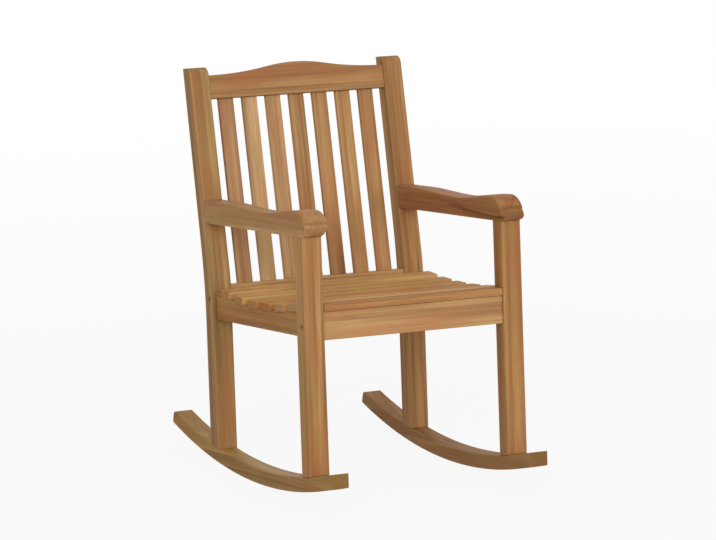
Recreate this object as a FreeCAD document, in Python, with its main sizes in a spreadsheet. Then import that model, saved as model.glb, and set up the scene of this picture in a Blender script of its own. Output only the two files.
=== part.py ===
"""Teak garden rocking armchair, built as its separate boards and fixings.

The chair is drawn standing square on its legs: the sitter looks along -Y, X runs
across the seat and z = 0 is the lowest line of the rocker curve. Left and right are
the sitter's. Every piece then gets one common placement, which leans the whole chair
back to the pose in which it comes to rest on a flat floor.
"""
import FreeCAD, Part
import math
import os

import Sketcher

Vector = FreeCAD.Vector
Rotation = FreeCAD.Rotation

os.makedirs("parts", exist_ok=True)
doc = FreeCAD.newDocument("rocking_armchair")
sheet = doc.addObject("Spreadsheet::Sheet", "Sizes")

SIZES = {
    # legs and posts
    "overall_width": 600.0,
    "leg_width": 53.0,
    "front_leg_depth": 44.0,
    "post_depth": 44.0,
    "leg_spread": 559.0,
    "arm_underside": 631.6,
    # bent rear posts
    "bend_height": 483.1,
    "front_rake": 9.35,
    "rear_rake": 8.76,
    "rear_bend_height": 481.4,
    "front_bend_radius": 420.0,
    "rear_bend_radius": 1200.0,
    "post_top": 1018.2,
    "post_top_drop": 3.0,
    "post_top_round": 22.0,
    # rockers
    "rocker_width": 50.0,
    "rocker_radius": 1600.0,
    "rocker_top_radius": 1650.0,
    "rocker_centre": 230.0,
    "rocker_depth": 37.0,
    "rocker_front_reach": 103.0,
    "rocker_rear_reach": 790.0,
    "rocker_end_rake": 10.0,
    "rocker_nose": 7.0,
    # seat frame
    "rail_height": 70.0,
    "front_rail_set_back": 6.0,
    "rear_rail_drop": 64.0,
    "rear_rail_set_back": 6.0,
    "rail_thickness": 24.0,
    "rear_rail_thickness": 28.0,
    "side_rail_drop": 78.5,
    "side_rail_thickness": 26.0,
    "side_rail_set_in": 9.0,
    # seat
    "seat_height": 467.9,
    "slat_thickness": 18.0,
    "seat_slat_width": 47.0,
    "seat_slat_pitch": 76.2,
    "first_slat": 50.0,
    "slat_end_gap": 5.0,
    "front_slat_depth": 46.0,
    "dish_centre": 262.0,
    "dish_drop": 30.5,
    "dish_radius": 1640.0,
    # back
    "crest_low": 462.7,
    "crest_end_height": 59.0,
    "crest_mid_height": 81.2,
    "crest_hump": 0.335,
    "crest_end_flat": 8.0,
    "crest_set_back": 4.0,
    "crest_thickness": 30.0,
    "back_slat_width": 40.5,
    "back_slat_thickness": 13.0,
    "back_slat_end_gap": 28.75,
    "back_slat_set_back": 18.5,
    "back_slat_foot": 12.0,
    # arms
    "arm_rear_top": 55.9,
    "arm_flat": 60.0,
    "arm_dip_top": 47.8,
    "arm_dip_place": 225.0,
    "arm_crown": 62.4,
    "arm_crown_place": 33.0,
    "arm_overhang": 21.5,
    "arm_bulge": 11.0,
    "arm_nose_round": 56.0,
    "arm_nose_under": 45.0,
    "arm_lip_rear": 22.0,
    "arm_lip_front": 12.0,
    # joints and fixings
    "tenon_length": 22.0,
    "tenon_thickness": 14.0,
    "tenon_relief": 1.0,
    "bolt_diameter": 6.0,
    "bolt_head_diameter": 13.0,
    "bolt_head_height": 4.0,
    "bolt_recess": 12.0,
    "bolt_reach": 40.0,
    "nut_diameter": 10.0,
    "nut_length": 16.0,
    "hole_clearance": 0.6,
    "edge_ease": 1.5,
    "arm_edge_round": 5.0,
    "joint_gap": 1.5,
    # rest pose, worked out below from the finished pieces
    "rest_lean": 0.0,
    "rest_y": 0.0,
    "rest_z": 0.0,
}

for row, (alias, number) in enumerate(SIZES.items(), start=1):
    sheet.set("A%d" % row, alias)
    sheet.set("B%d" % row, str(number))
    sheet.setAlias("B%d" % row, alias)
doc.recompute()


class Size:
    """A length or angle that knows its number and the sheet formula that gives it."""

    def __init__(self, value, text):
        self.value = float(value)
        self.text = text

    def _join(self, other, sign, number):
        other = as_size(other)
        return Size(number(self.value, other.value), "(%s %s %s)" % (self.text, sign, other.text))

    def __add__(self, other):
        return self._join(other, "+", lambda a, b: a + b)

    def __sub__(self, other):
        return self._join(other, "-", lambda a, b: a - b)

    def __mul__(self, other):
        return self._join(other, "*", lambda a, b: a * b)

    def __truediv__(self, other):
        return self._join(other, "/", lambda a, b: a / b)

    def __radd__(self, other):
        return as_size(other) + self

    def __rsub__(self, other):
        return as_size(other) - self

    def __rmul__(self, other):
        return as_size(other) * self

    def __neg__(self):
        return as_size(0) - self


def as_size(item):
    return item if isinstance(item, Size) else Size(item, repr(float(item)))


def size(alias):
    return Size(float(sheet.get(alias)), "Sizes.%s" % alias)


def root(item):
    return Size(math.sqrt(item.value), "sqrt(%s)" % item.text)


def tangent(angle):
    return Size(math.tan(math.radians(angle.value)), "tan(%s * 1 deg)" % angle.text)


def cosine(angle):
    return Size(math.cos(math.radians(angle.value)), "cos(%s * 1 deg)" % angle.text)


# Lines and places that several pieces share
HALF = size("overall_width") / 2
LEG_W = size("leg_width")
INSIDE = HALF - LEG_W
POST_FRONT = size("leg_spread") - size("post_depth")
POST_REAR = size("leg_spread")
BEND = size("bend_height")
RAKE = size("front_rake")
TENON = size("tenon_length")
RELIEF = size("tenon_relief")
HALF_TENON = size("tenon_thickness") / 2
NUT_X = INSIDE - size("bolt_reach") + 10
SEAT = size("seat_height")
BACK_PITCH = (INSIDE - size("back_slat_end_gap") - size("back_slat_width") / 2) / 3
SLAT_REACH = HALF - size("slat_end_gap")
FRONT_RAIL_LOW = SEAT - size("slat_thickness") - size("rail_height")
SIDE_RAIL_LOW = SEAT - size("side_rail_drop")
REAR_RAIL_LOW = SEAT - size("rear_rail_drop")
PIECES = []


def rocker_line(radius, low, y):
    """Height of a rocker arc at y: a circle centred over rocker_centre."""
    off = y - size("rocker_centre")
    return low + radius - root(radius * radius - off * off)


def rocker_bottom(y):
    return rocker_line(size("rocker_radius"), as_size(0), y)


def rocker_top(y):
    return rocker_line(size("rocker_top_radius"), size("rocker_depth"), y)


def dish_line(y):
    """Height of the hollow that the seat slats lie on."""
    off = y - size("dish_centre")
    radius = size("dish_radius")
    return SEAT - size("dish_drop") + radius - root(radius * radius - off * off)


def post_face(z):
    """The sloping front face of a rear post above its bend."""
    return POST_FRONT + (z - BEND) * tangent(RAKE)


def new_body(name):
    body = doc.addObject("PartDesign::Body", name)
    body.Label = name
    PIECES.append(body)
    return body


def plane_of(body, role):
    for item in body.Origin.OriginFeatures:
        if item.Role == role:
            return item
    raise RuntimeError("no plane %s" % role)


def new_sketch(body, name, role, offset=0):
    """A sketch on one of the body's own planes, moved along that plane's normal."""
    sketch = body.newObject("Sketcher::SketchObject", name)
    sketch.AttachmentSupport = [(plane_of(body, role), "")]
    sketch.MapMode = "FlatFace"
    offset = as_size(offset)
    sketch.AttachmentOffset = FreeCAD.Placement(Vector(0, 0, offset.value), Rotation())
    sketch.setExpression("AttachmentOffset.Base.z", offset.text)
    return sketch


def side_sketch(body, name, x=0):
    """Seen from the side: sketch x is Y, sketch y is Z, normal +X."""
    return new_sketch(body, name, "YZ_Plane", x)


def plan_sketch(body, name, z=0):
    """Seen from above: sketch x is X, sketch y is Y, normal +Z."""
    return new_sketch(body, name, "XY_Plane", z)


def front_sketch(body, name, y=0):
    """Seen from the front: sketch x is X, sketch y is Z, normal -Y."""
    return new_sketch(body, name, "XZ_Plane", -as_size(y))


def raked_sketch(body, name, depth):
    """In the leaning plane of the back: y runs up the slope, depth goes rearwards."""
    sketch = body.newObject("Sketcher::SketchObject", name)
    sketch.AttachmentSupport = [(plane_of(body, "XZ_Plane"), "")]
    sketch.MapMode = "FlatFace"
    depth = as_size(depth)
    back = POST_FRONT + depth * cosine(RAKE)
    up = BEND - depth * tangent(RAKE) * cosine(RAKE)
    turn = Rotation(Vector(1, 0, 0), -RAKE.value)
    sketch.AttachmentOffset = FreeCAD.Placement(Vector(0, up.value, -back.value), turn)
    sketch.setExpression("AttachmentOffset.Base.y", up.text)
    sketch.setExpression("AttachmentOffset.Base.z", (-back).text)
    sketch.setExpression("AttachmentOffset.Rotation.Angle", (-RAKE).text)
    return sketch


def pin_point(sketch, geo, pos, point):
    """Hold one end of an edge at a point that the sheet gives."""
    for kind, item in (("DistanceX", point[0]), ("DistanceY", point[1])):
        item = as_size(item)
        index = sketch.addConstraint(Sketcher.Constraint(kind, -1, 1, geo, pos, item.value))
        sketch.setExpression("Constraints[%d]" % index, item.text)


def arc_between(start, end, radius, side):
    """Centre and angles of the short arc from start to end; side +1 bulges left."""
    middle = (start + end) * 0.5
    chord = end - start
    across = Vector(-chord.y, chord.x, 0)
    across.normalize()
    reach = math.sqrt(max(radius * radius - (chord.Length / 2) ** 2, 0.0))
    centre = middle - across * (reach * side)
    return centre


def outline(sketch, corners, arcs=None):
    """A closed outline through corners, with arcs {edge number: (radius, side)}."""
    arcs = arcs or {}
    count = len(corners)
    spots = [Vector(as_size(c[0]).value, as_size(c[1]).value, 0) for c in corners]
    edges = []
    for index in range(count):
        start = spots[index]
        end = spots[(index + 1) % count]
        if index in arcs:
            radius, side = arcs[index]
            radius = as_size(radius)
            centre = arc_between(start, end, radius.value, side)
            first, last = (end, start) if side > 0 else (start, end)
            circle = Part.Circle(centre, Vector(0, 0, 1), radius.value)
            arc = Part.ArcOfCircle(circle, circle.parameter(first), circle.parameter(last))
            geo = sketch.addGeometry(arc, False)
            edges.append((geo, 2, 1) if side > 0 else (geo, 1, 2))
        else:
            geo = sketch.addGeometry(Part.LineSegment(start, end), False)
            edges.append((geo, 1, 2))
    for index in range(count):
        geo, begin, _ = edges[index]
        before, _, finish = edges[index - 1]
        sketch.addConstraint(Sketcher.Constraint("Coincident", before, finish, geo, begin))
        pin_point(sketch, geo, begin, corners[index])
    for index, (radius, _) in arcs.items():
        radius = as_size(radius)
        where = sketch.addConstraint(Sketcher.Constraint("Radius", edges[index][0], radius.value))
        sketch.setExpression("Constraints[%d]" % where, radius.text)
    return sketch


def box_outline(sketch, x0, y0, x1, y1):
    return outline(sketch, [(x0, y0), (x1, y0), (x1, y1), (x0, y1)])


def round_hole(sketch, x, y, diameter):
    """One circle of a hole pattern."""
    x, y, diameter = as_size(x), as_size(y), as_size(diameter)
    circle = Part.Circle(Vector(x.value, y.value, 0), Vector(0, 0, 1), diameter.value / 2)
    geo = sketch.addGeometry(circle, False)
    pin_point(sketch, geo, 3, (x, y))
    index = sketch.addConstraint(Sketcher.Constraint("Diameter", geo, diameter.value))
    sketch.setExpression("Constraints[%d]" % index, diameter.text)


def pad(body, sketch, length, name):
    length = as_size(length)
    feature = body.newObject("PartDesign::Pad", name)
    feature.Profile = sketch
    feature.Length = length.value
    feature.setExpression("Length", length.text)
    return feature


def cut(body, sketch, length, name, backwards=False):
    """A pocket along the sketch's normal, or against it when backwards."""
    length = as_size(length)
    doc.recompute()
    before = body.Shape.Volume
    feature = body.newObject("PartDesign::Pocket", name)
    feature.Profile = sketch
    feature.Length = length.value
    feature.setExpression("Length", length.text)
    feature.Reversed = not backwards
    doc.recompute()
    if not feature.Shape.Volume < before - 0.01:
        raise RuntimeError("%s of %s cuts nothing" % (name, body.Label))
    return feature


def repeat_across(body, feature, pitch, number, name):
    """The same feature again along X."""
    pitch = as_size(pitch)
    pattern = body.newObject("PartDesign::LinearPattern", name)
    pattern.Originals = [feature]
    axis = [item for item in body.Origin.OriginFeatures if item.Role == "X_Axis"][0]
    pattern.Direction = (axis, [""])
    length = pitch * (number - 1)
    pattern.Length = length.value
    pattern.setExpression("Length", length.text)
    pattern.Occurrences = number
    body.Tip = pattern
    doc.recompute()
    return pattern


def is_long_edge(edge, axis, least):
    curve = edge.Curve
    if not isinstance(curve, Part.Line):
        return False
    return abs(curve.Direction.dot(axis)) > 0.999 and edge.Length > least


def treat_edges(body, kind, pick, name, measure, alias):
    """A fillet or chamfer on those edges of the piece so far that pick() accepts."""
    doc.recompute()
    base = body.Tip
    names = ["Edge%d" % (i + 1) for i, edge in enumerate(base.Shape.Edges) if pick(edge)]
    if not names:
        raise RuntimeError("no edges for %s" % name)
    feature = body.newObject(kind, name)
    feature.Base = (base, names)
    setattr(feature, measure, size(alias).value)
    feature.setExpression(measure, size(alias).text)
    doc.recompute()
    return feature


def round_edges(body, pick, name, alias):
    """Fillets of the radius that the sheet gives."""
    return treat_edges(body, "PartDesign::Fillet", pick, name, "Radius", alias)


def ease_edges(body, pick, name):
    """The small chamfer that takes the sharpness off a sawn arris."""
    return treat_edges(body, "PartDesign::Chamfer", pick, name, "Size", "edge_ease")


def side_x(side, from_outside):
    """X of a plane that lies from_outside in from the chair's outer face."""
    return (HALF - from_outside) * side


def side_range(side, outer, width):
    """Lower X and width of a board whose outer face is outer in from the side."""
    low = side_x(side, outer + width) if side > 0 else side_x(side, outer)
    return low


def leg_tenon_x(side):
    """Lower X of the tenons that stand in the middle of a leg."""
    return HALF * side - LEG_W / 2 * side - HALF_TENON


def make_rocker(name, side):
    """A sawn rocker: one arc below, a flatter one above, mortised for two legs."""
    body = new_body(name)
    width = size("rocker_width")
    low = side_range(side, (LEG_W - width) / 2, width)
    front = -size("rocker_front_reach")
    rear = size("rocker_rear_reach")
    rear_top = rear - size("rocker_end_rake")
    corners = [
        (front, rocker_bottom(front)),
        (rear, rocker_bottom(rear)),
        (rear_top, rocker_top(rear_top)),
        (front, rocker_top(front)),
    ]
    bottom = (size("rocker_radius"), -1)
    top = (size("rocker_top_radius"), 1)
    sketch = outline(side_sketch(body, name + "_side", low), corners, {0: bottom, 2: top})
    pad(body, sketch, width, name + "_board")
    doc.recompute()
    ends = [rear.value, rear_top.value]
    across = Vector(1, 0, 0)
    round_edges(
        body,
        lambda e: is_long_edge(e, across, 20) and abs(e.Vertexes[0].Point.y - sum(ends) / 2) < 8,
        name + "_tail_corners",
        "rocker_nose",
    )

    def bow_edge(edge):
        return edge.BoundBox.XLength < 0.01 and edge.Length > rear.value / 2

    ease_edges(body, bow_edge, name + "_eased")
    for label, start, depth in (
        ("front", as_size(0), size("front_leg_depth")),
        ("rear", POST_FRONT, size("post_depth")),
    ):
        middle = start + depth / 2
        reach = depth / 2 - 10
        foot = rocker_top(middle) - TENON - RELIEF
        plan = plan_sketch(body, "%s_%s_mortise_plan" % (name, label), foot)
        x0 = leg_tenon_x(side)
        box_outline(plan, x0, middle - reach, x0 + HALF_TENON * 2, middle + reach)
        cut(body, plan, TENON + RELIEF + 12, "%s_%s_mortise" % (name, label))
    return body


def foot_tenon(body, name, side, start, depth):
    """The stub under a leg that fits the rocker's mortise."""
    middle = start + depth / 2
    reach = depth / 2 - 10
    foot = rocker_top(middle) - TENON
    plan = plan_sketch(body, name + "_foot_plan", foot)
    x0 = leg_tenon_x(side)
    box_outline(plan, x0, middle - reach, x0 + HALF_TENON * 2, middle + reach)
    pad(body, plan, TENON + 12, name + "_foot_tenon")


def rail_bolt_bore(body, name, side, y, z):
    """The stepped bore that a connector bolt passes, from the leg's outer face."""
    for label, start, diameter, length in (
        ("recess", as_size(0), size("bolt_head_diameter") + 1, size("bolt_recess")),
        ("bore", size("bolt_recess"), size("bolt_diameter") + 0.6, LEG_W - size("bolt_recess")),
    ):
        sketch = side_sketch(body, "%s_%s_circle" % (name, label), side_x(side, start))
        round_hole(sketch, y, z, diameter)
        cut(body, sketch, length, "%s_%s" % (name, label), backwards=side > 0)


def side_tenon_span(front):
    """Height range of a side rail's tenon at its front or rear end."""
    if front:
        return SIDE_RAIL_LOW + 10, SIDE_RAIL_LOW + 46
    return SIDE_RAIL_LOW + 8, SIDE_RAIL_LOW + 38


def side_tenon_x(side):
    """Lower X of the side rail's tenon."""
    inset = size("side_rail_set_in") + size("side_rail_thickness") / 2
    return HALF * side - inset * side - HALF_TENON


FRONT_BOLT = (
    size("front_rail_set_back") + size("rail_thickness") / 2,
    FRONT_RAIL_LOW + size("rail_height") / 2,
)
REAR_BOLT = (
    POST_FRONT + size("rear_rail_set_back") + size("rear_rail_thickness") / 2,
    REAR_RAIL_LOW + size("rail_height") / 2,
)


def make_front_leg(name, side):
    """A square front leg with a tenon at each end and the side rail's mortise."""
    body = new_body(name)
    low = side_range(side, as_size(0), LEG_W)
    depth = size("front_leg_depth")
    top = size("arm_underside")
    corners = [
        (as_size(0), rocker_top(as_size(0))),
        (depth, rocker_top(depth)),
        (depth, top),
        (as_size(0), top),
    ]
    pad(body, outline(side_sketch(body, name + "_side", low), corners), LEG_W, name + "_post")
    upright = Vector(0, 0, 1)
    half = top.value / 2
    ease_edges(body, lambda e: is_long_edge(e, upright, half), name + "_eased")
    foot_tenon(body, name, side, as_size(0), depth)
    plan = plan_sketch(body, name + "_top_plan", top - 2)
    x0 = leg_tenon_x(side)
    box_outline(plan, x0, as_size(12), x0 + HALF_TENON * 2, depth - 8)
    pad(body, plan, TENON + 2, name + "_top_tenon")
    z0, z1 = side_tenon_span(True)
    plan = front_sketch(body, name + "_mortise_face", depth)
    x0 = side_tenon_x(side)
    box_outline(plan, x0, z0, x0 + HALF_TENON * 2, z1)
    cut(body, plan, TENON + RELIEF - 4, name + "_mortise")
    rail_bolt_bore(body, name + "_bolt", side, *FRONT_BOLT)
    return body


def crest_tenon_span():
    low = size("crest_low") + 12
    return low, low + size("crest_end_height") - 24


def crest_tenon_depth():
    middle = size("crest_set_back") + size("crest_thickness") / 2
    return middle - HALF_TENON


def arm_tenon_span():
    low = size("arm_underside") + 13
    return low, low + 28


def make_rear_post(name, side):
    """A rear leg and back post in one board, sawn with a bend above the seat."""
    body = new_body(name)
    low = side_range(side, as_size(0), LEG_W)
    top = size("post_top")
    rear_top = top - size("post_top_drop")
    rear_bend = size("rear_bend_height")
    rear_y = POST_REAR + (rear_top - rear_bend) * tangent(size("rear_rake"))
    corners = [
        (POST_FRONT, rocker_top(POST_FRONT)),
        (POST_REAR, rocker_top(POST_REAR)),
        (POST_REAR, rear_bend),
        (rear_y, rear_top),
        (post_face(top), top),
        (POST_FRONT, BEND),
    ]
    pad(body, outline(side_sketch(body, name + "_side", low), corners), LEG_W, name + "_board")
    across = Vector(1, 0, 0)

    def near(y, z):
        def pick(edge):
            if not is_long_edge(edge, across, 20):
                return False
            spot = edge.Vertexes[0].Point
            return abs(spot.y - y.value) < 0.5 and abs(spot.z - z.value) < 0.5

        return pick

    bends = (
        ("front_bend", POST_FRONT, BEND, "front_bend_radius"),
        ("rear_bend", POST_REAR, rear_bend, "rear_bend_radius"),
        ("crown", post_face(top), top, "post_top_round"),
    )
    for label, y, z, radius in bends:
        round_edges(body, near(y, z), "%s_%s" % (name, label), radius)
    lowest = rocker_top(POST_REAR).value + 5

    def long_side(edge):
        box = edge.BoundBox
        flat = box.XLength < 0.01
        inner = box.ZMin > lowest or box.ZLength > BEND.value / 2
        return flat and box.ZLength > 14 and inner

    ease_edges(body, long_side, name + "_eased")
    foot_tenon(body, name, side, POST_FRONT, size("post_depth"))
    z0, z1 = side_tenon_span(False)
    face = front_sketch(body, name + "_rail_mortise_face", POST_FRONT)
    x0 = side_tenon_x(side)
    box_outline(face, x0, z0, x0 + HALF_TENON * 2, z1)
    cut(body, face, TENON + RELIEF - 4, name + "_rail_mortise", backwards=True)
    z0, z1 = arm_tenon_span()
    x0 = leg_tenon_x(side)
    deep = TENON + RELIEF
    corners = [
        (post_face(z0) - 8, z0),
        (post_face(z0) + deep, z0),
        (post_face(z1) + deep, z1),
        (post_face(z1) - 8, z1),
    ]
    face = outline(side_sketch(body, name + "_arm_mortise_side", x0), corners)
    cut(body, face, HALF_TENON * 2, name + "_arm_mortise")
    v0, v1 = crest_tenon_span()
    face = raked_sketch(body, name + "_crest_mortise_face", crest_tenon_depth())
    box_outline(face, (INSIDE - 2) * side, v0, (INSIDE + TENON + RELIEF) * side, v1)
    cut(body, face, HALF_TENON * 2, name + "_crest_mortise", backwards=True)
    rail_bolt_bore(body, name + "_bolt", side, *REAR_BOLT)
    return body


def make_side_rail(name, side):
    """A seat side rail: hollowed along its top for the dished seat, tenoned both ends."""
    body = new_body(name)
    thick = size("side_rail_thickness")
    low = side_range(side, size("side_rail_set_in"), thick)
    front = size("front_leg_depth")
    under = SIDE_RAIL_LOW
    corners = [
        (front, under),
        (POST_FRONT, under),
        (POST_FRONT, dish_line(POST_FRONT)),
        (front, dish_line(front)),
    ]
    side_view = outline(
        side_sketch(body, name + "_side", low), corners, {2: (size("dish_radius"), 1)}
    )
    pad(body, side_view, thick, name + "_board")
    along = Vector(0, 1, 0)
    half = (POST_FRONT - front).value / 2
    ease_edges(body, lambda e: is_long_edge(e, along, half), name + "_eased")
    x0 = side_tenon_x(side)
    for label, at_front in (("front", True), ("rear", False)):
        z0, z1 = side_tenon_span(at_front)
        wall = front + 2 if at_front else POST_FRONT - 2
        view = front_sketch(body, "%s_%s_tenon_face" % (name, label), wall)
        box_outline(view, x0, z0, x0 + HALF_TENON * 2, z1)
        tenon = pad(body, view, TENON - 2, "%s_%s_tenon" % (name, label))
        tenon.Reversed = not at_front
    return body


def make_cross_rail(name, front, thick, low, bolt):
    """A plain rail between the legs, bored at each end for its bolt and barrel nut."""
    body = new_body(name)
    tall = size("rail_height")
    view = side_sketch(body, name + "_side", -INSIDE)
    box_outline(view, front, low, front + thick, low + tall)
    pad(body, view, INSIDE * 2, name + "_board")
    along = Vector(1, 0, 0)
    ease_edges(body, lambda e: is_long_edge(e, along, INSIDE.value), name + "_eased")
    y, z = bolt
    reach = size("bolt_reach") + 6
    for side, label in ((1, "left"), (-1, "right")):
        bore = side_sketch(body, "%s_%s_bore_circle" % (name, label), INSIDE * side)
        round_hole(bore, y, z, size("bolt_diameter") + 0.6)
        cut(body, bore, reach, "%s_%s_bore" % (name, label), backwards=side > 0)
    return body


def nut_bores(body, name, face, z, towards_back):
    """Blind holes for the barrel nuts, from the rail's face under the seat."""
    for side, label in ((1, "left"), (-1, "right")):
        view = front_sketch(body, "%s_%s_nut_circle" % (name, label), face)
        round_hole(view, NUT_X * side, z, size("nut_diameter") + 0.6)
        deep = size("nut_length") + 1
        cut(body, view, deep, "%s_%s_nut_hole" % (name, label), backwards=towards_back)


def make_front_rail():
    """The apron under the front of the seat."""
    front = size("front_rail_set_back")
    thick = size("rail_thickness")
    low = FRONT_RAIL_LOW
    body = make_cross_rail("front_rail", front, thick, low, FRONT_BOLT)
    nut_bores(body, "front_rail", front + thick, FRONT_BOLT[1], False)
    return body


def make_rear_rail():
    """The rail behind the seat, which also holds the feet of the back slats."""
    front = POST_FRONT + size("rear_rail_set_back")
    thick = size("rear_rail_thickness")
    low = REAR_RAIL_LOW
    body = make_cross_rail("rear_rail", front, thick, low, REAR_BOLT)
    slat_housings(body, "rear_rail", foot_v(), foot_v() + size("back_slat_foot") * 3)
    nut_bores(body, "rear_rail", front, REAR_BOLT[1], True)
    return body


def foot_v():
    """How far down the slope the back slats reach into the rear rail."""
    rail_top = REAR_RAIL_LOW + size("rail_height")
    return (rail_top - BEND - size("back_slat_foot")) / cosine(RAKE)


def slat_housings(body, name, v0, v1):
    """The row of mortises that takes one end of each back slat."""
    wide = size("back_slat_width")
    left = BACK_PITCH * -3 - wide / 2
    view = raked_sketch(body, name + "_housing_face", size("back_slat_set_back"))
    box_outline(view, left, v0, left + wide, v1)
    thick = size("back_slat_thickness")
    first = cut(body, view, thick, name + "_housing", backwards=True)
    repeat_across(body, first, BACK_PITCH, 7, name + "_housings")


def make_crest_rail():
    """The crest rail: straight below, a cupid's bow above, tenoned into the posts."""
    body = new_body("crest_rail")
    low = size("crest_low")
    end = low + size("crest_end_height")
    apex = low + size("crest_mid_height")
    rise = size("crest_mid_height") - size("crest_end_height")
    span = INSIDE - size("crest_end_flat")
    share = size("crest_hump")
    turn_x = span * share
    turn_v = apex - rise * share
    length = (span * span + rise * rise) / (rise * 2)
    hump = length * share
    hollow = length * (1 - share)
    corners = [
        (-INSIDE, low),
        (INSIDE, low),
        (INSIDE, end),
        (span, end),
        (turn_x, turn_v),
        (-turn_x, turn_v),
        (-span, end),
        (-INSIDE, end),
    ]
    arcs = {3: (hollow, 1), 4: (hump, -1), 5: (hollow, 1)}
    view = raked_sketch(body, "crest_rail_face", size("crest_set_back"))
    outline(view, corners, arcs)
    board = pad(body, view, size("crest_thickness"), "crest_rail_board")
    board.Reversed = True
    doc.recompute()

    def bow_edges(edge):
        if edge.Length < INSIDE.value / 4:
            return False
        if isinstance(edge.Curve, Part.Line):
            return abs(edge.Curve.Direction.x) > 0.999
        return True

    ease_edges(body, bow_edges, "crest_rail_eased")
    v0, v1 = crest_tenon_span()
    for side, label in ((1, "left"), (-1, "right")):
        view = raked_sketch(body, "crest_rail_%s_tenon_face" % label, crest_tenon_depth())
        box_outline(view, (INSIDE - 2) * side, v0, (INSIDE + TENON) * side, v1)
        tenon = pad(body, view, HALF_TENON * 2, "crest_rail_%s_tenon" % label)
        tenon.Reversed = True
    doc.recompute()
    top = size("crest_low") + size("back_slat_foot")
    slat_housings(body, "crest_rail", size("crest_low") - 10, top)
    return body


def make_back_slat(number):
    """One flat slat of the back, housed at both ends."""
    name = "back_slat_%d" % number
    body = new_body(name)
    middle = BACK_PITCH * (number - 4)
    wide = size("back_slat_width")
    top = size("crest_low") + size("back_slat_foot")
    view = raked_sketch(body, name + "_face", size("back_slat_set_back"))
    box_outline(view, middle - wide / 2, foot_v(), middle + wide / 2, top)
    board = pad(body, view, size("back_slat_thickness"), name + "_board")
    board.Reversed = True
    ease_edges(body, lambda e: e.Length > (POST_FRONT / 2).value, name + "_eased")
    return body


def make_seat_slat(number):
    """A cross slat of the seat, lying in the hollow of the side rails."""
    name = "seat_slat_%d" % number
    body = new_body(name)
    start = size("first_slat") + size("seat_slat_pitch") * (number - 1)
    end = start + size("seat_slat_width")
    thick = size("slat_thickness")
    z0, z1 = dish_line(start), dish_line(end)
    wide = size("seat_slat_width")
    slope = root(wide * wide + (z1 - z0) * (z1 - z0))
    off_y = (z1 - z0) * thick / slope
    off_z = wide * thick / slope
    corners = [(start, z0), (end, z1), (end - off_y, z1 + off_z), (start - off_y, z0 + off_z)]
    view = outline(side_sketch(body, name + "_side", -SLAT_REACH), corners)
    pad(body, view, SLAT_REACH * 2, name + "_board")
    along = Vector(1, 0, 0)
    middle = (z0.value + z1.value) / 2 + thick.value / 2
    ease_edges(
        body,
        lambda e: is_long_edge(e, along, INSIDE.value) and e.Vertexes[0].Point.z > middle,
        name + "_eased",
    )
    return body


def make_front_seat_slat():
    """The front slat of the seat, fitted between the front legs on the apron."""
    name = "front_seat_slat"
    body = new_body(name)
    top = SEAT
    view = side_sketch(body, name + "_side", -(INSIDE - size("joint_gap")))
    box_outline(view, as_size(1), top - size("slat_thickness"), size("front_slat_depth"), top)
    pad(body, view, (INSIDE - size("joint_gap")) * 2, name + "_board")
    along = Vector(1, 0, 0)
    middle = top.value - size("slat_thickness").value / 2
    ease_edges(
        body,
        lambda e: is_long_edge(e, along, INSIDE.value) and e.Vertexes[0].Point.z > middle,
        name + "_eased",
    )
    return body


def arm_top_line(under):
    """The arm's top from heel to crown: two S-curves, each of two equal arcs."""
    heel = under + size("arm_rear_top")
    dip = under + size("arm_dip_top")
    crown = under + size("arm_crown")
    flat_end = POST_FRONT - size("arm_flat")
    dip_y = size("arm_dip_place")
    crown_y = size("arm_crown_place")
    points = [
        (flat_end, heel),
        ((flat_end + dip_y) / 2, (heel + dip) / 2),
        (dip_y, dip),
        ((dip_y + crown_y) / 2, (dip + crown) / 2),
        (crown_y, crown),
    ]
    fall = s_radius(flat_end - dip_y, heel - dip)
    rise = s_radius(dip_y - crown_y, crown - dip)
    return points, fall, rise


def s_radius(length, step):
    """Radius of the two equal arcs of an S-curve between parallel lines."""
    return (length * length + step * step) / (step * 4)


def arm_bar(body, name, side):
    """The arm's side outline, sawn through a bar as wide as its widest place."""
    under = size("arm_underside")
    reach = size("arm_overhang")
    heel = under + size("arm_rear_top")
    top, fall, rise = arm_top_line(under)
    corners = [(as_size(0), under), (post_face(under), under), (post_face(heel), heel)]
    corners += top
    nose = size("arm_nose_round")
    run = size("arm_crown_place") + reach
    drop = nose - root(nose * nose - run * run)
    corners += [(-reach, under + size("arm_crown") - drop)]
    arcs = {
        3: (fall, 1),
        4: (fall, -1),
        5: (rise, -1),
        6: (rise, 1),
        7: (nose, 1),
        8: (size("arm_nose_under"), 1),
    }
    arcs = {edge: (radius, -turn) for edge, (radius, turn) in arcs.items()}
    width = LEG_W + size("arm_bulge")
    view = side_sketch(body, name + "_side", side_range(side, as_size(0), width))
    return pad(body, outline(view, corners, arcs), width, name + "_bar")


def saw_arm_plan(body, name, side):
    """Saw the inner side in plan: straight behind, swelling inwards towards the front."""
    inner = INSIDE * side
    bulged = (INSIDE - size("arm_bulge")) * side
    far = (INSIDE - size("arm_bulge") - 10) * side
    start = size("arm_dip_place")
    end = size("arm_crown_place")
    high = size("arm_underside") + size("arm_crown") + 5
    radius = s_radius(start - end, size("arm_bulge"))
    corners = [
        (bulged, end),
        ((inner + bulged) / 2, (start + end) / 2),
        (inner, start),
        (inner, POST_FRONT + 60),
        (far, POST_FRONT + 60),
        (far, end),
    ]
    arcs = {0: (radius, -side), 1: (radius, side)}
    view = outline(plan_sketch(body, name + "_plan", high), corners, arcs)
    cut(body, view, size("arm_crown") + 10, name + "_plan_cut", backwards=True)


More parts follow.
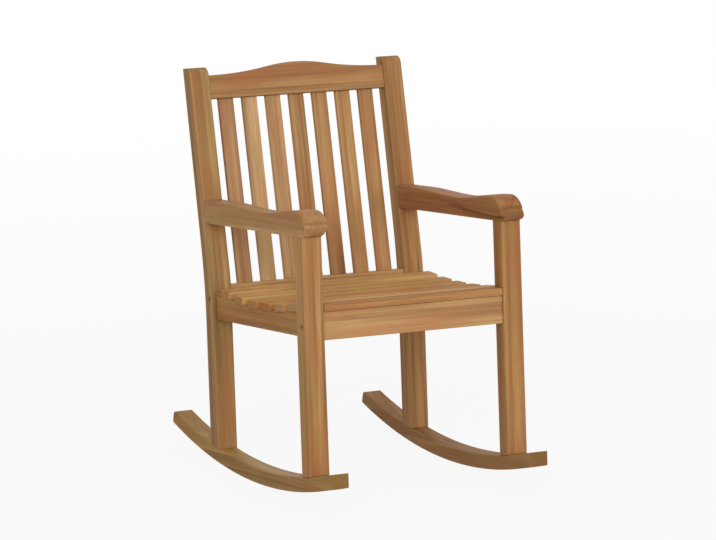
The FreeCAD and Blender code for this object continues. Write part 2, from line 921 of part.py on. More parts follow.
def shape_arm_lip(body, name, side):
    """Undercut the swelling on the inner side, so that it ends in a lip over the leg."""
    under = size("arm_underside")
    rear = size("arm_dip_place") + 40
    front = -size("arm_overhang") - 10
    corners = [
        (front, under - 5),
        (rear, under - 5),
        (rear, under + size("arm_lip_rear")),
        (as_size(0), under + size("arm_lip_front")),
        (front, under + size("arm_lip_front")),
    ]
    deep = size("arm_bulge") + 4
    start = side_x(side, LEG_W + deep) if side > 0 else side_x(side, LEG_W)
    view = outline(side_sketch(body, name + "_lip_side", start), corners)
    cut(body, view, deep, name + "_under_lip")


def make_armrest(name, side):
    """A carved arm: level at the post, dipping, then swelling to a rounded knuckle."""
    body = new_body(name)
    arm_bar(body, name, side)
    saw_arm_plan(body, name, side)
    shape_arm_lip(body, name, side)
    doc.recompute()
    heel_z = (size("arm_underside") + size("arm_rear_top")).value
    along = Vector(0, 1, 0)

    def heel_edge(edge):
        level = abs(edge.Vertexes[0].Point.z - heel_z) < 0.1
        return level and is_long_edge(edge, along, 20)

    treat_edges(body, "PartDesign::Chamfer", heel_edge, name + "_rounded", "Size", "arm_edge_round")
    under = size("arm_underside")
    z0, z1 = arm_tenon_span()
    x0 = leg_tenon_x(side)
    corners = [
        (post_face(z0) - 4, z0),
        (post_face(z0) + TENON, z0),
        (post_face(z1) + TENON, z1),
        (post_face(z1) - 4, z1),
    ]
    view = outline(side_sketch(body, name + "_tenon_side", x0), corners)
    pad(body, view, HALF_TENON * 2, name + "_tenon")
    plan = plan_sketch(body, name + "_mortise_plan", under - 3)
    box_outline(plan, x0, as_size(12), x0 + HALF_TENON * 2, size("front_leg_depth") - 8)
    cut(body, plan, TENON + RELIEF + 3, name + "_mortise")
    return body


def fixing_set(name, solids):
    """A set of like fixings kept together as separate solids."""
    item = doc.addObject("Part::Feature", name)
    item.Label = name
    item.Shape = Part.makeCompound(solids)
    PIECES.append(item)
    return item


def number(alias):
    return size(alias).value


def make_bolt(x, side, y, z):
    """A connector bolt: hexagon head in its recess, shank running inwards along X."""
    head = number("bolt_head_height")
    reach = number("bolt_head_diameter") / 2
    corners = []
    for turn in range(7):
        angle = math.radians(60 * turn)
        corners.append(Vector(x, y + reach * math.cos(angle), z + reach * math.sin(angle)))
    cap = Part.Face(Part.makePolygon(corners)).extrude(Vector(-side * head, 0, 0))
    shank = number("leg_width") - number("bolt_recess") + number("bolt_reach")
    radius = number("bolt_diameter") / 2
    start = Vector(x - side * (head - 1), y, z)
    rod = Part.makeCylinder(radius, shank + 1, start, Vector(-side, 0, 0))
    return cap.fuse(rod).removeSplitter()


def make_rail_bolts():
    """Four connector bolts that hold the cross rails between the legs."""
    solids = []
    for side in (1, -1):
        for y, z in (FRONT_BOLT, REAR_BOLT):
            head_top = number("overall_width") / 2 - number("bolt_recess")
            x = side * (head_top + number("bolt_head_height"))
            solids.append(make_bolt(x, side, y.value, z.value))
    return fixing_set("rail_bolts", solids)


def make_barrel_nuts():
    """The cross nuts inside the rails, bored for the bolts."""
    solids = []
    radius = number("nut_diameter") / 2
    long = number("nut_length") - 1
    front_end = (size("front_rail_set_back") + size("rail_thickness") - size("nut_length") - 1).value
    rear_end = (POST_FRONT + size("rear_rail_set_back") + size("nut_length") + 1).value
    for start, way, bolt in ((front_end, 1, FRONT_BOLT), (rear_end, -1, REAR_BOLT)):
        for side in (1, -1):
            x = NUT_X.value * side
            z = bolt[1].value
            barrel = Part.makeCylinder(radius, long, Vector(x, start, z), Vector(0, way, 0))
            hole = Part.makeCylinder(
                (number("bolt_diameter") + number("hole_clearance")) / 2,
                number("nut_diameter") * 2,
                Vector(x - number("nut_diameter"), bolt[0].value, z),
                Vector(1, 0, 0),
            )
            solids.append(barrel.cut(hole))
    return fixing_set("barrel_nuts", solids)


make_rocker("left_rocker", 1)
make_rocker("right_rocker", -1)
make_front_leg("left_front_leg", 1)
make_front_leg("right_front_leg", -1)
make_rear_post("left_rear_post", 1)
make_rear_post("right_rear_post", -1)
make_side_rail("left_side_rail", 1)
make_side_rail("right_side_rail", -1)
make_front_rail()
make_rear_rail()
make_crest_rail()
for slat_number in range(1, 8):
    make_back_slat(slat_number)
make_armrest("left_armrest", 1)
make_armrest("right_armrest", -1)
make_front_seat_slat()
for slat_number in range(1, 7):
    make_seat_slat(slat_number)
doc.recompute()
make_rail_bolts()
make_barrel_nuts()
doc.recompute()


def check_document(names):
    """Stop if any object failed or any piece came out empty or broken."""
    for item in doc.Objects:
        if "Invalid" in item.State or "Error" in item.State:
            raise RuntimeError("object failed: %s %s" % (item.Label, item.State))
    for piece in names:
        shape = piece.Shape
        if shape.isNull() or not shape.isValid() or shape.Volume <= 0:
            raise RuntimeError("bad shape: %s" % piece.Label)


check_document(PIECES)


def rest_pose(pieces):
    """Lean of the chair at rest: its weight hangs straight under the rocker's centre."""
    mass = 0.0
    moment = Vector(0, 0, 0)
    for piece in pieces:
        steel = piece.Label in ("rail_bolts", "barrel_nuts")
        weight = piece.Shape.Volume * (7.9 if steel else 0.65)
        mass += weight
        moment += piece.Shape.CenterOfGravity * weight
    centre = moment * (1 / mass)
    pivot_y = number("rocker_centre")
    pivot_z = number("rocker_radius")
    lean = math.degrees(math.atan2(centre.y - pivot_y, pivot_z - centre.z))
    turn = Rotation(Vector(1, 0, 0), -lean)
    pivot = turn.multVec(Vector(0, pivot_y, pivot_z))
    low, high = 1e9, -1e9
    for piece in pieces:
        turned = piece.Shape.copy()
        turned.Placement = FreeCAD.Placement(Vector(0, 0, 0), turn)
        box = turned.optimalBoundingBox(False)
        low = min(low, box.YMin)
        high = max(high, box.YMax)
    return lean, -(low + high) / 2, pivot_z - pivot.z


lean, shift_y, shift_z = rest_pose(PIECES)
sheet.set(sheet.getCellFromAlias("rest_lean"), repr(lean))
sheet.set(sheet.getCellFromAlias("rest_y"), repr(shift_y))
sheet.set(sheet.getCellFromAlias("rest_z"), repr(shift_z))
for piece in PIECES:
    piece.Placement = FreeCAD.Placement(
        Vector(0, shift_y, shift_z), Rotation(Vector(1, 0, 0), -lean)
    )
    piece.setExpression("Placement.Base.y", "Sizes.rest_y")
    piece.setExpression("Placement.Base.z", "Sizes.rest_z")
    piece.setExpression("Placement.Rotation.Angle", "-Sizes.rest_lean * 1 deg")
doc.recompute()
check_document(PIECES)

total = Part.makeCompound([piece.Shape for piece in PIECES]).optimalBoundingBox(False)
print("lean %.2f  y %.2f  z %.2f" % (lean, shift_y, shift_z))
print("box", [round(v, 2) for v in (total.XMin, total.XMax, total.YMin, total.YMax)])
print("height", round(total.ZMin, 3), round(total.ZMax, 2))
for piece in PIECES:
    piece.Shape.exportStep("parts/%s.step" % piece.Label)
print("pieces", len(PIECES))
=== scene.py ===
import math

import bpy
import numpy as np
from mathutils import Matrix, Vector


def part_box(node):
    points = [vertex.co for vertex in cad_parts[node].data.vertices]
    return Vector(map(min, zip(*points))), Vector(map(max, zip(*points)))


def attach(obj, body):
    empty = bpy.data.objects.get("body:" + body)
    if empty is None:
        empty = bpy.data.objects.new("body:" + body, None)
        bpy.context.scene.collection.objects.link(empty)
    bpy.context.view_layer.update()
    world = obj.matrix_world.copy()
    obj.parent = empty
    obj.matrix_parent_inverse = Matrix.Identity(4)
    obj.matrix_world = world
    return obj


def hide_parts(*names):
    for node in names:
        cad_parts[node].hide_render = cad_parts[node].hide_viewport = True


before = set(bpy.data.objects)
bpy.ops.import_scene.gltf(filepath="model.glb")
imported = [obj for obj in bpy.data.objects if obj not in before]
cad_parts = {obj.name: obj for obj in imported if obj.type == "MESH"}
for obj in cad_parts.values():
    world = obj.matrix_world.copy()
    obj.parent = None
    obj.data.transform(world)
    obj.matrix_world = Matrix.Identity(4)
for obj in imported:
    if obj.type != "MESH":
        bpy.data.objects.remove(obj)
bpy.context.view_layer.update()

LEAN = math.radians(5.44)  # the chair leans back this far as it rests on its rockers
BACK_RAKE = math.radians(9.5)  # the back leans this much further than the legs
POST_SLOPE = math.tan(math.radians(9.05))  # and so does the upper part of the rear posts
POST_BEND = 0.4779  # height of the posts' bend, in metres along the leaning legs


class Wire:
    """A value in a material. Arithmetic on it adds Math nodes to the same material."""

    def __init__(self, graph, socket):
        self.graph = graph
        self.socket = socket

    def math(self, operation, *values, **settings):
        settings["operation"] = operation
        return self.graph.node("ShaderNodeMath", settings, dict(enumerate(values)))

    def __add__(self, other):
        return self.math("ADD", self, other)

    def __radd__(self, other):
        return self.math("ADD", other, self)

    def __sub__(self, other):
        return self.math("SUBTRACT", self, other)

    def __rsub__(self, other):
        return self.math("SUBTRACT", other, self)

    def __mul__(self, other):
        return self.math("MULTIPLY", self, other)

    def __rmul__(self, other):
        return self.math("MULTIPLY", other, self)

    def __pow__(self, other):
        return self.math("POWER", self, other)

    def size(self):
        return self.math("ABSOLUTE", self)

    def step(self, low, high):
        """0 below low, 1 above high, and an even rise between them."""
        slope = 1.0 / (high - low)
        return self.math("MULTIPLY_ADD", self, slope, -low * slope, use_clamp=True)


class Graph:
    """The nodes of one material or world, from its coordinates to its surface."""

    def __init__(self, owner):
        self.owner = owner
        self.owner.use_nodes = True
        self.tree = self.owner.node_tree
        self.tree.nodes.clear()

    def node(self, kind, settings, sockets, output=0):
        """Adds a node: its settings first, then its sockets' values or links."""
        made = self.tree.nodes.new(kind)
        for key, value in settings.items():
            setattr(made, key, value)
        for key, value in sockets.items():
            if isinstance(value, Wire):
                self.tree.links.new(value.socket, made.inputs[key])
            else:
                made.inputs[key].default_value = value
        return Wire(self, made.outputs[output] if made.outputs else None)

    def mix(self, factor, first, second):
        """Blends two colours; the Mix node's colour sockets are its seventh and eighth."""
        sockets = {0: factor, 6: first, 7: second}
        return self.node("ShaderNodeMix", {"data_type": "RGBA"}, sockets, 2)

    def noise(self, vector, scale, detail, roughness, seed):
        settings = {"noise_dimensions": "4D"}
        sockets = {
            "Vector": vector,
            "W": seed,
            "Scale": scale,
            "Detail": detail,
            "Roughness": roughness,
        }
        return self.node("ShaderNodeTexNoise", settings, sockets)

    def stretched(self, vector, along, across):
        """The same place with its length along the grain and its two other lengths scaled."""
        factors = (along, across, across)
        settings = {"operation": "MULTIPLY"}
        return self.node("ShaderNodeVectorMath", settings, {0: vector, 1: factors})

    def seen_rays(self):
        """1 for what the camera sees, also in a mirror or through glass, and 0 for lighting."""
        ray = self.node("ShaderNodeLightPath", {}, {}).socket.node.outputs
        camera = Wire(self, ray["Is Camera Ray"])
        mirrored = Wire(self, ray["Is Glossy Ray"])
        through = Wire(self, ray["Is Transmission Ray"])
        return camera.math("MAXIMUM", camera, camera.math("MAXIMUM", mirrored, through))

    def finish(self, shader, output="ShaderNodeOutputMaterial"):
        self.node(output, {}, {"Surface": shader})
        return self.owner


def linear(red, green, blue):
    """An 0 to 255 display colour as the linear colour that shaders take."""
    parts = []
    for part in (red, green, blue):
        part = part / 255.0
        parts.append(part / 12.92 if part <= 0.04045 else ((part + 0.055) / 1.055) ** 2.4)
    return (*parts, 1.0)


def toned(colour, tone_and_shading):
    """A colour with each of its three parts multiplied by a piece's tone, which holds the board's
    own shade and also painted light and shade.
    """
    return (*(part * factor for part, factor in zip(colour[:3], tone_and_shading)), 1.0)


LIGHT_WOOD = linear(208, 166, 110)
MID_WOOD = linear(174, 127, 79)
DARK_WOOD = linear(126, 79, 42)
RED_WOOD = linear(172, 111, 67)
OLIVE_WOOD = linear(164, 130, 78)
HEART_WOOD = linear(118, 76, 44)
END_WOOD = linear(158, 122, 78)
PORE = linear(104, 68, 38)
WORN_WOOD = linear(205, 165, 116)
# painted shade: the dark colour laid into gaps, corners and hollows
PAINTED_CREVICE_SHADE = linear(74, 46, 25)


# The noises of the grain: cycles in a metre along it and across it, detail, roughness, seed shift.
GRAIN = {
    "slow": (1.1, 10.0, 2.0, 0.5, 0.0),
    "wander": (3.5, 34.0, 2.0, 0.5, 7.0),
    "streaks": (1.3, 48.0, 3.0, 0.6, 19.0),
    "fibre": (5.0, 420.0, 3.0, 0.65, 2.0),
    "pores": (28.0, 900.0, 1.0, 0.5, 4.0),
    "redness": (3.6, 21.0, 2.0, 0.55, 11.0),
    "olive": (4.4, 18.0, 2.0, 0.55, 23.0),
}
PITH = (0.07, 0.05)  # the tree's centre line, beside a board and behind it, in metres
RING_RATE = 190.0  # growth rings in a metre
SLOW_BEND = 0.026  # how far noise moves the rings, in metres
SMALL_BEND = 0.009
BEVEL_RAYS = {"samples": 4}


def grain(board, kind, seed):
    """One of the grain's noises, stretched along the board's first axis."""
    along, across, detail, roughness, shift = GRAIN[kind]
    place = board.graph.stretched(board, along, across)
    return board.graph.noise(place, 1.0, detail, roughness, seed + shift)


def teak(name, centre, turn, seed, tone_and_shading, heart, bend):
    """Bare sanded teak for one board.

    Its grain runs along the turned frame's first axis. Growth rings are bands of the distance
    from a pith line beside the board, bent by slow noise. Streaks, fibres and pores are noise
    stretched along the grain. Redder and olive patches change slowly over the board, and heart
    is the strength of darker heartwood. Sawn ends are browner and speckled, the eased edges are
    worn a little paler, and painted shade darkens the narrow gaps, corners and hollows of boards.
    Above bend, if it isn't None, the grain leans back with the board.
    """
    graph = Graph(bpy.data.materials.new("teak_" + name))
    place = graph.node("ShaderNodeTexCoord", {}, {}, "Object")
    settings = {"vector_type": "TEXTURE"}
    sockets = {"Vector": place, "Location": centre, "Rotation": turn.to_euler("XYZ")}
    board = graph.node("ShaderNodeMapping", settings, sockets)
    parts = graph.node("ShaderNodeSeparateXYZ", {}, {0: board})
    along, across, through = (Wire(graph, part) for part in parts.socket.node.outputs)
    if bend is not None:
        above = along - bend
        through = through - above.math("MAXIMUM", above, 0.0) * POST_SLOPE
        board = graph.node("ShaderNodeCombineXYZ", {}, {0: along, 1: across, 2: through})
    slow = grain(board, "slow", seed)
    fibre = grain(board, "fibre", seed)
    pores = grain(board, "pores", seed)
    aside = across - PITH[0] + (slow - 0.5) * SLOW_BEND
    below = through - PITH[1] + (grain(board, "wander", seed) - 0.5) * SMALL_BEND
    radius = (aside * aside + below * below) ** 0.5
    settings = {"noise_dimensions": "1D"}
    sockets = {"W": radius * RING_RATE + seed * 3.0, "Scale": 1.0}
    sockets |= {"Detail": 3.0, "Roughness": 0.6}
    rings = graph.node("ShaderNodeTexNoise", settings, sockets).step(0.32, 0.7)
    figure = rings * 0.28 + grain(board, "streaks", seed).step(0.38, 0.62) * 0.66 + 0.03
    redness = grain(board, "redness", seed).step(0.46, 0.66) * 0.72
    olive = grain(board, "olive", seed).step(0.5, 0.68) * 0.55
    colour = graph.mix(figure, toned(LIGHT_WOOD, tone_and_shading), toned(DARK_WOOD, tone_and_shading))
    colour = graph.mix(fibre.step(0.3, 0.75) * 0.3 + 0.05, colour, toned(MID_WOOD, tone_and_shading))
    colour = graph.mix(redness, colour, toned(RED_WOOD, tone_and_shading))
    colour = graph.mix(olive, colour, toned(OLIVE_WOOD, tone_and_shading))
    if heart:
        streak = slow.step(0.5, 0.62) * heart
        colour = graph.mix(streak, colour, toned(HEART_WOOD, tone_and_shading))
    colour = graph.mix(pores.step(0.62, 0.7) * 0.3, colour, toned(PORE, tone_and_shading))
    facing = graph.node("ShaderNodeTexCoord", {}, {}, "Normal")
    grain_way = tuple(turn.to_3x3() @ Vector((1.0, 0.0, 0.0)))
    settings = {"operation": "DOT_PRODUCT"}
    end = graph.node("ShaderNodeVectorMath", settings, {0: facing, 1: grain_way}, "Value")
    end = end.size().step(0.72, 0.95)
    speck = graph.noise(board, 900.0, 2.0, 0.6, seed + 5.0)
    cut_end = graph.mix(speck.step(0.35, 0.7), toned(END_WOOD, tone_and_shading), toned(DARK_WOOD, tone_and_shading))
    colour = graph.mix(end * 0.85, colour, cut_end)
    corner = graph.node("ShaderNodeBevel", BEVEL_RAYS, {"Radius": 0.0028})
    flat = graph.node("ShaderNodeNewGeometry", {}, {}, "Normal")
    worn = 1.0 - graph.node("ShaderNodeVectorMath", settings, {0: corner, 1: flat}, "Value")
    worn = worn.step(0.01, 0.16) * (0.25 + fibre * 0.5)
    colour = graph.mix(worn, colour, toned(WORN_WOOD, tone_and_shading))
    # Painted shade: the colour darkens where ambient occlusion finds nearby surfaces, in gaps,
    # corners and hollows.
    near = {"Distance": 0.006, "Color": (1.0, 1.0, 1.0, 1.0)}
    open_air = graph.node("ShaderNodeAmbientOcclusion", {"samples": 4}, near, "AO")
    crevice_shade = (1.0 - open_air).step(0.26, 0.62) * 0.85
    colour = graph.mix(crevice_shade, colour, toned(PAINTED_CREVICE_SHADE, tone_and_shading))
    rough = 0.58 + fibre * 0.16 - pores.step(0.62, 0.7) * 0.1
    height = fibre * 0.6 + rings * 0.4 - pores.step(0.6, 0.72) * 0.8
    edge = graph.node("ShaderNodeBevel", BEVEL_RAYS, {"Radius": 0.0018})
    sockets = {"Strength": 0.22, "Distance": 0.0006, "Height": height, "Normal": edge}
    relief = graph.node("ShaderNodeBump", {}, sockets)
    sockets = {"Base Color": colour, "Roughness": rough, "Normal": relief}
    sockets["Specular IOR Level"] = 0.3
    return graph.finish(graph.node("ShaderNodeBsdfPrincipled", {}, sockets))


def bolt_steel():
    """Blackened steel: a dark metal with fine turning marks and dull patches."""
    graph = Graph(bpy.data.materials.new("bolt_steel"))
    place = graph.node("ShaderNodeTexCoord", {}, {}, "Object")
    marks = graph.noise(graph.stretched(place, 1800.0, 260.0), 1.0, 2.0, 0.6, 3.0)
    dull = graph.noise(place, 220.0, 3.0, 0.6, 8.0)
    colour = graph.mix(dull.step(0.35, 0.7), linear(78, 74, 68), linear(46, 43, 39))
    rough = 0.3 + marks * 0.12 + dull.step(0.4, 0.7) * 0.18
    sockets = {"Base Color": colour, "Roughness": rough, "Metallic": 1.0}
    return graph.finish(graph.node("ShaderNodeBsdfPrincipled", {}, sockets))


def axes(along, across):
    """A rotation whose first axis is the grain and whose second lies across the board's face."""
    along = Vector(along).normalized()
    through = along.cross(Vector(across)).normalized()
    across = through.cross(along)
    return Matrix((along, across, through)).transposed()


SIDE = Vector((1.0, 0.0, 0.0))
DEEP = Vector((0.0, math.cos(LEAN), -math.sin(LEAN)))
HIGH = Vector((0.0, math.sin(LEAN), math.cos(LEAN)))
RAKED = Vector((0.0, math.sin(LEAN + BACK_RAKE), math.cos(LEAN + BACK_RAKE)))

UPRIGHT = axes(HIGH, SIDE)
BACKREST = axes(RAKED, SIDE)
SIDEWAYS = axes(SIDE, DEEP)
FRONTAL = axes(SIDE, HIGH)
LENGTHWAYS = axes(DEEP, SIDE)
SIDE_BOARD = axes(DEEP, HIGH)

# The last column scales each board's colours: its own shade together with painted light and shade.
BOARDS = {
    "left_front_leg": (UPRIGHT, 1.3, (0.864, 0.744, 0.614)),
    "right_front_leg": (UPRIGHT, 2.7, (0.944, 0.94, 0.81)),
    "left_rear_post": (UPRIGHT, 4.1, (0.848, 0.769, 0.654)),
    "right_rear_post": (UPRIGHT, 5.9, (0.82, 0.861, 0.769)),
    "left_rocker": (SIDE_BOARD, 8.2, (0.706, 0.637, 0.5)),
    "right_rocker": (SIDE_BOARD, 9.4, (0.782, 0.788, 0.545)),
    "left_side_rail": (SIDE_BOARD, 10.6, (1, 1, 1)),
    "right_side_rail": (SIDE_BOARD, 12.1, (0.827, 0.763, 0.529)),
    "front_rail": (FRONTAL, 13.8, (1.166, 1.261, 1.293)),
    "rear_rail": (FRONTAL, 15.2, (1.236, 1.369, 1.251)),
    "crest_rail": (FRONTAL, 16.9, (0.84, 0.814, 0.754)),
    "left_armrest": (LENGTHWAYS, 18.3, (0.747, 0.6, 0.5)),
    "right_armrest": (LENGTHWAYS, 19.7, (0.934, 0.969, 0.958)),
    "front_seat_slat": (SIDEWAYS, 21.3, (0.884, 0.776, 0.616)),
    "seat_slat_1": (SIDEWAYS, 24.7, (1.216, 1.287, 1.171)),
    "seat_slat_2": (SIDEWAYS, 26.4, (1.21, 1.265, 1.135)),
    "seat_slat_3": (SIDEWAYS, 28.1, (1.075, 0.872, 0.543)),
    "seat_slat_4": (SIDEWAYS, 29.8, (1.196, 1.121, 0.738)),
    "seat_slat_5": (SIDEWAYS, 31.5, (1.169, 1.2, 0.89)),
    "seat_slat_6": (SIDEWAYS, 33.2, (1.223, 1.199, 0.986)),
    "back_slat_1": (BACKREST, 43.3, (0.925, 0.884, 1.007)),
    "back_slat_2": (BACKREST, 45.6, (1.192, 1.318, 1.568)),
    "back_slat_3": (BACKREST, 47.9, (1.131, 1.168, 1.334)),
    "back_slat_4": (BACKREST, 50.2, (0.941, 0.935, 0.917)),
    "back_slat_5": (BACKREST, 52.5, (0.987, 0.943, 0.904)),
    "back_slat_6": (BACKREST, 54.8, (1.008, 1.028, 0.993)),
    "back_slat_7": (BACKREST, 57.1, (1.014, 0.974, 0.953)),
}
HEARTS = {"back_slat_1": 0.6, "back_slat_5": 0.8, "front_rail": 0.35}


def dress(name, material):
    """Gives a CAD node's every material slot the same finish."""
    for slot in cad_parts[name].material_slots:
        slot.material = material


for name, (turn, seed, tone_and_shading) in BOARDS.items():
    low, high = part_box(name)
    centre = (Vector(low) + Vector(high)) / 2
    heart = HEARTS.get(name, 0.0)
    bend = POST_BEND - centre.dot(HIGH) if name.endswith("rear_post") else None
    dress(name, teak(name, tuple(centre), turn, seed, tone_and_shading, heart, bend))
steel = bolt_steel()
for name in ("rail_bolts", "barrel_nuts"):
    dress(name, steel)


# The armrests' lines, in millimetres of the upright chair: y runs back from the front leg, and
# heights are over the arms' underside.
ARM_UNDER = 631.6
ARM_OUTER = 300.0
ARM_INNER = 247.0
POST_AT_TOP = 548.3  # the sloping post's face at the arm's top, and at its underside
POST_AT_UNDER = 539.2
HEEL_TOP = 55.9
HEEL_FLAT_END = 455.0
DIP_TOP = 47.8
DIP_AT = 225.0
CROWN_TOP = 62.4
CROWN_AT = 33.0
KNUCKLE_CENTRE = (33.0, 6.4)
KNUCKLE_RADIUS = 56.0
GROOVE = np.array([[-13.9, 34.0], [-12.9, 31.8], [-13.8, 29.6]])
ROLL_CENTRE = (-8.3, 17.0)
ROLL_RADIUS = 13.2
TUCK = np.array([[22.0, 0.0], [1.0, 0.0], [-3.0, 1.4]])  # from the leg to the roll's underside
SWELL_START = 300.0
SWELL_LENGTH = 170.0
SWELL_WIDTH = 11.5
LIP_FRONT = 13.5
LIP_FLAT_END = 40.0
LIP_SLOPE = 0.065
UNDERCUT = 5.0
SLIM_CORNERS = np.array([1.6, 3.0, 4.0, 2.4, 0.8, 1.6])  # how far each corner's rounding reaches
FULL_CORNERS = np.array([1.6, 5.0, 8.0, 3.2, 0.8, 1.6])
REST_SHIFT = (-347.74, 28.99)  # the upright chair's place after it leans back to rest


def ease(start, end, share):
    """A soft step from start to end: half a cosine wave over share 0 to 1."""
    return start + (end - start) * (0.5 - 0.5 * np.cos(np.pi * np.clip(share, 0.0, 1.0)))


def arc(centre, radius, first, last, count):
    """Points on a circle between two angles in degrees, as (y, z) pairs."""
    angle = np.radians(np.linspace(first, last, count))
    return np.stack([centre[0] + radius * np.cos(angle), centre[1] + radius * np.sin(angle)], -1)


def spaced(path, count):
    """The same path with count points at even steps of its length."""
    steps = np.linalg.norm(np.diff(path, axis=0), axis=1)
    length = np.concatenate([[0.0], np.cumsum(steps)])
    where = np.linspace(0.0, length[-1], count)
    return np.stack([np.interp(where, length, path[:, axis]) for axis in (0, 1)], -1)


def arm_lines(body=110, nose=80):
    """The armrest's upper and lower lines, paired station by station.

    Above: level by the post, a soft step down to the dip, a soft step up to the crown, a circle
    over the knuckle, a shallow groove and then the roll's circle. Below: straight to the leg,
    then up round the roll from underneath. Both end on the front of the roll.
    """
    share = np.linspace(0.0, 1.0, body)
    back = POST_AT_TOP + (CROWN_AT - POST_AT_TOP) * share
    fall = ease(HEEL_TOP, DIP_TOP, (HEEL_FLAT_END - back) / (HEEL_FLAT_END - DIP_AT))
    rise = ease(0.0, CROWN_TOP - DIP_TOP, (DIP_AT - back) / (DIP_AT - CROWN_AT))
    above = np.stack([back, fall + rise], -1)
    under = POST_AT_UNDER + (TUCK[0, 0] - POST_AT_UNDER) * share
    below = np.stack([under, 0.0 * share], -1)
    knuckle = arc(KNUCKLE_CENTRE, KNUCKLE_RADIUS, 90.0, 147.0, 30)
    roll_above = arc(ROLL_CENTRE, ROLL_RADIUS, 118.0, 192.0, 20)
    roll_below = arc(ROLL_CENTRE, ROLL_RADIUS, 275.0, 198.0, 20)
    above_nose = spaced(np.concatenate([knuckle, GROOVE, roll_above]), nose)
    below_nose = spaced(np.concatenate([TUCK, roll_below]), nose)
    above = np.concatenate([above, above_nose[1:]])
    below = np.concatenate([below, below_nose[1:]])
    return above, below


def rounded_rings(corners, radii, steps):
    """Closed rings through rounded corners: each corner is a parabola between its two sides.

    corners is stations x corners x 2. A corner's parabola starts and ends radius away from it,
    or at less than half of the shorter side.
    """
    before = np.roll(corners, 1, axis=1) - corners
    after = np.roll(corners, -1, axis=1) - corners
    before_length = np.linalg.norm(before, axis=-1, keepdims=True)
    after_length = np.linalg.norm(after, axis=-1, keepdims=True)
    reach = np.minimum(radii[..., None], 0.46 * np.minimum(before_length, after_length))
    start = corners + before / np.maximum(before_length, 1e-6) * reach
    end = corners + after / np.maximum(after_length, 1e-6) * reach
    t = np.linspace(0.0, 1.0, steps)[None, None, :, None]
    curve = (1 - t) ** 2 * start[:, :, None] + 2 * t * (1 - t) * corners[:, :, None]
    curve = curve + t**2 * end[:, :, None]
    return curve.reshape(len(corners), -1, 2)


def armrest_mesh(name, side):
    """A carved armrest as a skin of rings, one across the arm at each pair of its two lines.

    Each ring is a six-cornered outline with rounded corners: flat outside, flat below as far as
    the leg is wide, and on the inner side a swelling that steps in below its lip. The swelling
    grows from nothing behind the dip to its full width before the crown, and its lip comes lower
    towards the front.
    """
    above, below = arm_lines()
    tall = np.linalg.norm(above - below, axis=1)
    upward = (above - below) / tall[:, None]
    back = above[:, 0]
    swell = ease(0.0, 1.0, (SWELL_START - back) / SWELL_LENGTH)
    inner = ARM_INNER - SWELL_WIDTH * swell
    lip_rise = LIP_SLOPE * np.clip(back - LIP_FLAT_END, 0.0, SWELL_START - LIP_FLAT_END)
    lip = np.minimum(LIP_FRONT + lip_rise, tall * 0.55)
    cut = ARM_INNER + UNDERCUT * swell * np.clip(tall / 40.0, 0.0, 1.0)
    blank = np.zeros_like(tall)
    outline = [
        (blank + ARM_OUTER, blank),
        (blank + ARM_OUTER, tall),
        (inner, tall),
        (inner, lip),
        (cut, lip * 0.9),
        (blank + ARM_INNER, blank),
    ]
    corners = np.stack([np.stack(corner, -1) for corner in outline], axis=1)
    rounding = SLIM_CORNERS + (FULL_CORNERS - SLIM_CORNERS) * swell[:, None]
    ring = rounded_rings(corners, rounding, 7)
    x = ring[..., 0] * side
    y = below[:, None, 0] + ring[..., 1] * upward[:, None, 0]
    z = below[:, None, 1] + ring[..., 1] * upward[:, None, 1] + ARM_UNDER
    placed_y = y * math.cos(LEAN) + z * math.sin(LEAN) + REST_SHIFT[0]
    placed_z = -y * math.sin(LEAN) + z * math.cos(LEAN) + REST_SHIFT[1]
    points = np.stack([x, placed_y, placed_z], -1) / 1000.0
    return closed_skin(name, points, flip=side < 0)


def closed_skin(name, points, flip):
    """A mesh from rings of points: quads between neighbouring rings and a cap at each end."""
    stations, around = points.shape[:2]
    ring = np.arange(stations - 1)[:, None] * around
    here = np.arange(around)[None, :]
    there = (np.arange(around)[None, :] + 1) % around
    quads = np.stack([ring + here, ring + there, ring + around + there, ring + around + here], -1)
    quads = quads.reshape(-1, 4)
    first = np.arange(around)[::-1]
    last = (stations - 1) * around + np.arange(around)
    if flip:
        quads, first, last = quads[:, ::-1], first[::-1], last[::-1]
    mesh = bpy.data.meshes.new(name)
    mesh.from_pydata(
        points.reshape(-1, 3).tolist(), [], quads.tolist() + [first.tolist(), last.tolist()]
    )
    mesh.polygons.foreach_set("use_smooth", np.ones(len(mesh.polygons), dtype=bool))
    mesh.set_sharp_from_angle(angle=math.radians(40.0))
    mesh.update()
    return mesh


for name, side in (("left", 1), ("right", -1)):
    node = name + "_armrest"
    arm = bpy.data.objects.new("carved_arm_" + name, armrest_mesh("carved_arm_" + name, side))
    bpy.context.scene.collection.objects.link(arm)
    arm.data.materials.append(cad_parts[node].material_slots[0].material)
    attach(arm, "root")
    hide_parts(node)


def floor_disc(radius=16.0, rings=24, spokes=64):
    """A flat round floor: each grid point is its ring's radius along its spoke's direction."""
    distance = radius * np.linspace(0.0, 1.0, rings + 1)[1:, None] ** 2
    angle = np.linspace(0.0, 2 * np.pi, spokes, endpoint=False)[None, :]
    level = 0.0 * distance * angle
    points = np.stack([distance * np.cos(angle), distance * np.sin(angle), level], -1)
    points = np.concatenate([np.zeros((1, 3)), points.reshape(-1, 3)])
    inner = 1 + np.arange(rings - 1)[:, None] * spokes + np.arange(spokes)[None, :]
    after = 1 + np.arange(rings - 1)[:, None] * spokes + (np.arange(spokes)[None, :] + 1) % spokes
    quads = np.stack([inner, inner + spokes, after + spokes, after], -1).reshape(-1, 4)
    spoke = 1 + np.arange(spokes)
    fan = np.stack([0 * spoke, spoke, 1 + np.arange(1, spokes + 1) % spokes], -1)
    mesh = bpy.data.meshes.new("floor")
    mesh.from_pydata(points.tolist(), [], fan.tolist() + quads.tolist())
    return mesh


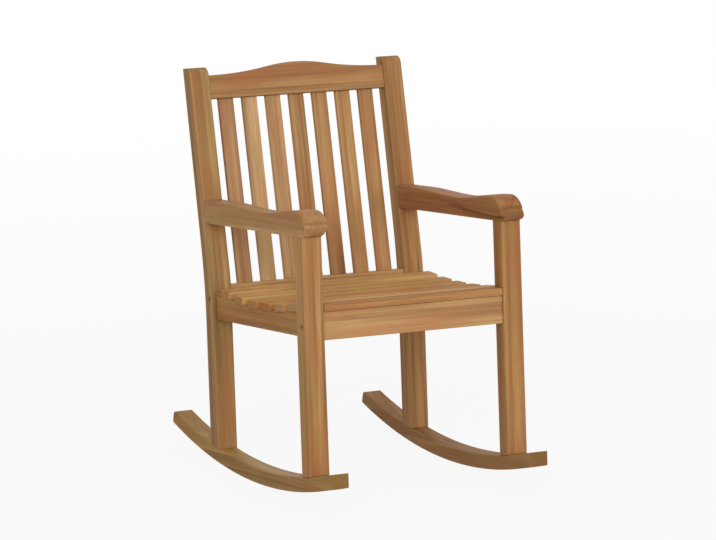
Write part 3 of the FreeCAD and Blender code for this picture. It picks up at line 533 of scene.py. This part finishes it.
def pale_floor():
    """White floor that keeps a soft shadow and fades into the white surround far away."""
    graph = Graph(bpy.data.materials.new("pale_floor"))
    place = graph.node("ShaderNodeTexCoord", {}, {}, "Object")
    settings = {"operation": "LENGTH"}
    away = graph.node("ShaderNodeVectorMath", settings, {0: place}, "Value").step(1.0, 6.0)
    painted = graph.node("ShaderNodeBsdfDiffuse", {}, {"Color": (0.64, 0.64, 0.63, 1.0)})
    white = graph.node("ShaderNodeEmission", {}, {"Color": (1.0, 1.0, 1.0, 1.0), "Strength": 1.0})
    share = graph.seen_rays() * (0.9 + away * 0.1)
    return graph.finish(graph.node("ShaderNodeMixShader", {}, {0: share, 1: painted, 2: white}))


floor = bpy.data.objects.new("floor", floor_disc())
floor.data.materials.append(pale_floor())
bpy.context.scene.collection.objects.link(floor)


def surround():
    """White where the camera looks past the floor, and plain soft light for everything else."""
    graph = Graph(bpy.data.worlds.new("studio"))
    strength = graph.seen_rays() * 0.6 + 0.4
    sockets = {"Color": (1.0, 1.0, 1.0, 1.0), "Strength": strength}
    background = graph.node("ShaderNodeBackground", {}, sockets)
    bpy.context.scene.world = graph.finish(background, "ShaderNodeOutputWorld")


LAMP_SIZE = 3.0
LAMPS = {  # place, the height it's aimed at over the middle of the floor, and power
    "key_light": ((-3.1, -4.7, 2.7), 0.5, 180.0),
    "fill_light": ((2.8, -4.4, 2.0), 0.5, 65.0),
    "top_light": ((0.2, 0.6, 4.2), 0.4, 22.0),
    "back_light": ((0.8, 5.4, 1.7), 0.5, 60.0),
}


def soft_lamp(name, place, height, power):
    """A square softbox that faces the point it's aimed at."""
    lamp = bpy.data.lights.new(name, "AREA")
    lamp.shape = "SQUARE"
    lamp.size = LAMP_SIZE
    lamp.energy = power
    holder = bpy.data.objects.new(name, lamp)
    holder.location = place
    way = Vector((0.0, 0.0, height)) - Vector(place)
    holder.rotation_euler = way.to_track_quat("-Z", "Y").to_euler()
    bpy.context.scene.collection.objects.link(holder)


surround()
for name, (place, height, power) in LAMPS.items():
    soft_lamp(name, place, height, power)


def photo_camera():
    """The photograph's viewpoint: the rows are the picture's right, up and back directions."""
    right = Vector((0.8886328, -0.4585302, 0.0090416))
    up = Vector((0.0782264, 0.1709701, 0.9821659))
    back = Vector((-0.4518986, -0.8720776, 0.1877989))
    turn = Matrix((right, up, back)).transposed()
    lens = bpy.data.cameras.new("photo_view")
    lens.sensor_fit = "HORIZONTAL"
    lens.sensor_width = 36.0
    lens.lens = 211.549
    lens.clip_end = 100.0
    camera = bpy.data.objects.new("photo_view", lens)
    camera.matrix_world = Matrix.Translation((-4.7351431, -9.1419726, 2.4750947)) @ turn.to_4x4()
    bpy.context.scene.collection.objects.link(camera)
    bpy.context.scene.camera = camera


photo_camera()
bpy.context.scene.view_settings.view_transform = "Standard"
